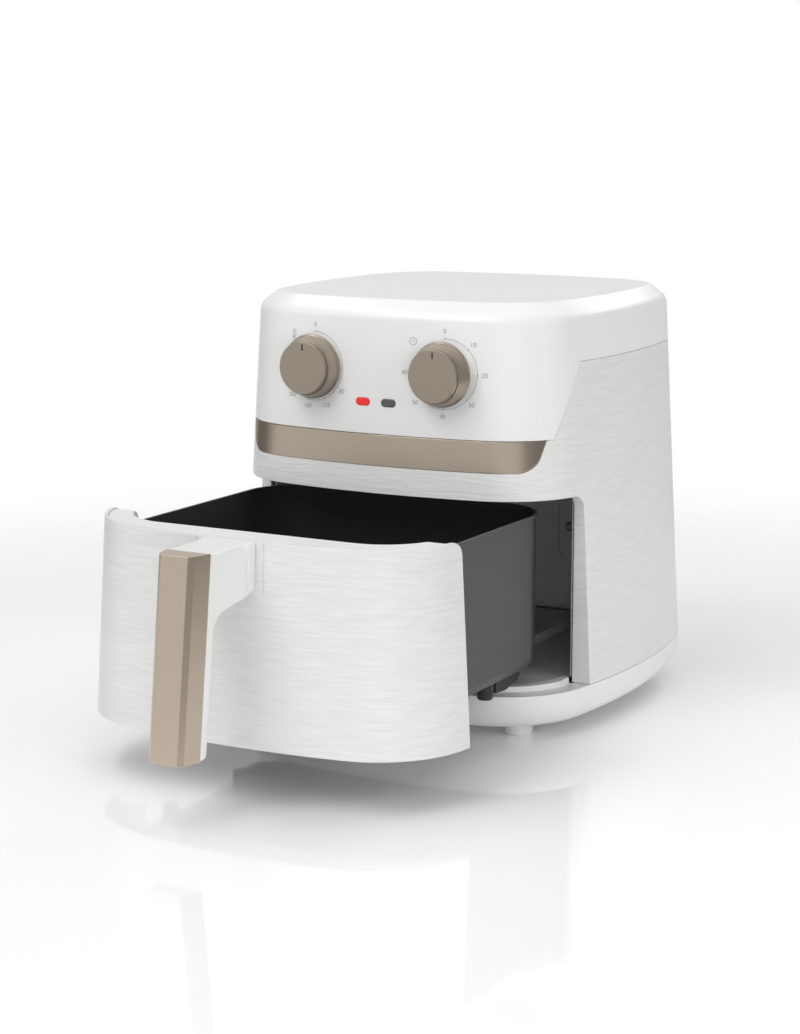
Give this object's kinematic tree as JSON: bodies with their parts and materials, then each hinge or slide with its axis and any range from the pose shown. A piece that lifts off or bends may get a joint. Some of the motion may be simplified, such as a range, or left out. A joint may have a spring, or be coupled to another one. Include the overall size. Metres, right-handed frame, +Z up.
{
  "type": "hot-air fryer",
  "caption": "Counter-top hot-air deep fryer with a rounded white body, a pull-out pan with a crisper plate and a drop handle, and two dials with lamps on its front.",
  "frame": {"origin": "on the surface that the feet stand on, under the middle of the body", "axes": "+X to the right seen from the front, -Y out of the front, the way the drawer opens, +Z up"},
  "size_m": [0.2956, 0.561, 0.31],
  "materials": {
    "white_grained_plastic": "white moulding with a fine pattern of wavy level ripples, satin gloss",
    "white_smooth_plastic": "smooth white moulding, satin gloss",
    "taupe_trim": "fine metallic taupe lacquer on plastic, satin",
    "taupe_knob": "taupe moulding, satin",
    "taupe_grip": "fine metallic taupe lacquer on plastic, satin",
    "dark_print": "dark inlay, matt",
    "red_lens": "clear red moulding, polished",
    "grey_lens": "smoke grey moulding, polished",
    "nonstick_coating": "dark grey non-stick coating on drawn steel, satin",
    "black_plastic": "black moulding, fine satin",
    "rubber": "soft black rubber, matt",
    "white_rubber": "soft white rubber, dull",
    "coated_sheet": "dark heat-proof coating on pressed steel, satin",
    "bright_sheet": "aluminised steel sheet, dull bright",
    "element_sheath": "oxidised steel sheath, dull",
    "steel_wire": "plated steel, bright",
    "fan_aluminium": "pressed aluminium, plain",
    "bearing_bronze": "sintered bronze, plain",
    "lamp_glass": "clear glass with a warm glow inside"
  },
  "bodies": {
    "housing": {"base": "white_smooth_plastic", "base_screws": "steel_wire", "chamber_floor": "coated_sheet", "chamber_liner": "coated_sheet", "chamber_rear_panel": "coated_sheet", "control_plate": "bright_sheet", "cord_gland": "black_plastic", "element_guard": "steel_wire", "foot_front_left": "white_rubber", "foot_front_right": "white_rubber", "foot_rear_left": "white_rubber", "foot_rear_right": "white_rubber", "heating_element": "element_sheath", "heating_lens": "red_lens", "indicator_lamps": "lamp_glass", "interlock_switch": "black_plastic", "main_housing": "white_grained_plastic", "motor_bearings": "bearing_bronze", "motor_end_lower": "bright_sheet", "motor_end_upper": "bright_sheet", "motor_mount": "bright_sheet", "motor_stator": "bright_sheet", "pan_rails": "coated_sheet", "panel_screws": "steel_wire", "power_lens": "grey_lens", "rear_vent_grille": "white_smooth_plastic", "reflector_dish": "bright_sheet", "terminal_block": "black_plastic", "thermal_fuse": "lamp_glass", "thermostat": "black_plastic", "timer": "black_plastic", "timer_bell": "bright_sheet", "top_cover": "white_smooth_plastic", "trim_band": "taupe_trim"},
    "drawer": {"drawer_front": "white_grained_plastic", "drawer_inner_cover": "white_smooth_plastic", "pan": "nonstick_coating", "pan_feet": "black_plastic", "pan_runner_left": "black_plastic", "pan_runner_right": "black_plastic", "handle_bracket": "white_smooth_plastic", "handle_grip_cover": "taupe_grip", "handle_screws": "steel_wire"},
    "crisper": {"crisper_plate": "nonstick_coating", "crisper_bumpers": "rubber"},
    "temperature_dial": {"temperature_knob": "taupe_knob", "temperature_knob_cap": "taupe_knob", "temperature_pointer": "dark_print", "temperature_shaft": "steel_wire"},
    "timer_dial": {"timer_knob": "taupe_knob", "timer_knob_cap": "taupe_knob", "timer_pointer": "dark_print", "timer_shaft": "steel_wire"},
    "fan": {"hot_air_fan": "fan_aluminium", "cooling_fan": "fan_aluminium", "motor_shaft": "steel_wire", "fan_nut": "steel_wire", "motor_rotor": "bright_sheet"},
    "plunger": {"switch_plunger": "black_plastic"}
  },
  "joints": [
    {"name": "drawer_slide", "type": "slide", "parent": "housing", "child": "drawer", "axis": [0, -1, 0], "range_m": [-0.1869, 0.07]},
    {"name": "crisper_lift", "type": "slide", "parent": "drawer", "child": "crisper", "axis": [0, 0, 1], "range_m": [0, 0.105]},
    {"name": "temperature_turn", "type": "hinge", "parent": "housing", "child": "temperature_dial", "pos_m": [-0.0523, -0.15, 0.2605], "axis": [0, 1, 0], "range_deg": [0, 225]},
    {"name": "timer_turn", "type": "hinge", "parent": "housing", "child": "timer_dial", "pos_m": [0.0523, -0.15, 0.2605], "axis": [0, 1, 0], "range_deg": [0, 270]},
    {"name": "fan_spin", "type": "hinge", "parent": "housing", "child": "fan", "pos_m": [0, -0.00525, 0.205], "axis": [0, 0, 1], "continuous": true},
    {"name": "plunger_push", "type": "slide", "parent": "housing", "child": "plunger", "axis": [0, 1, 0], "range_m": [0, 0.003], "stiffness_N_per_m": 300, "springref_m": -0.003}
  ]
}
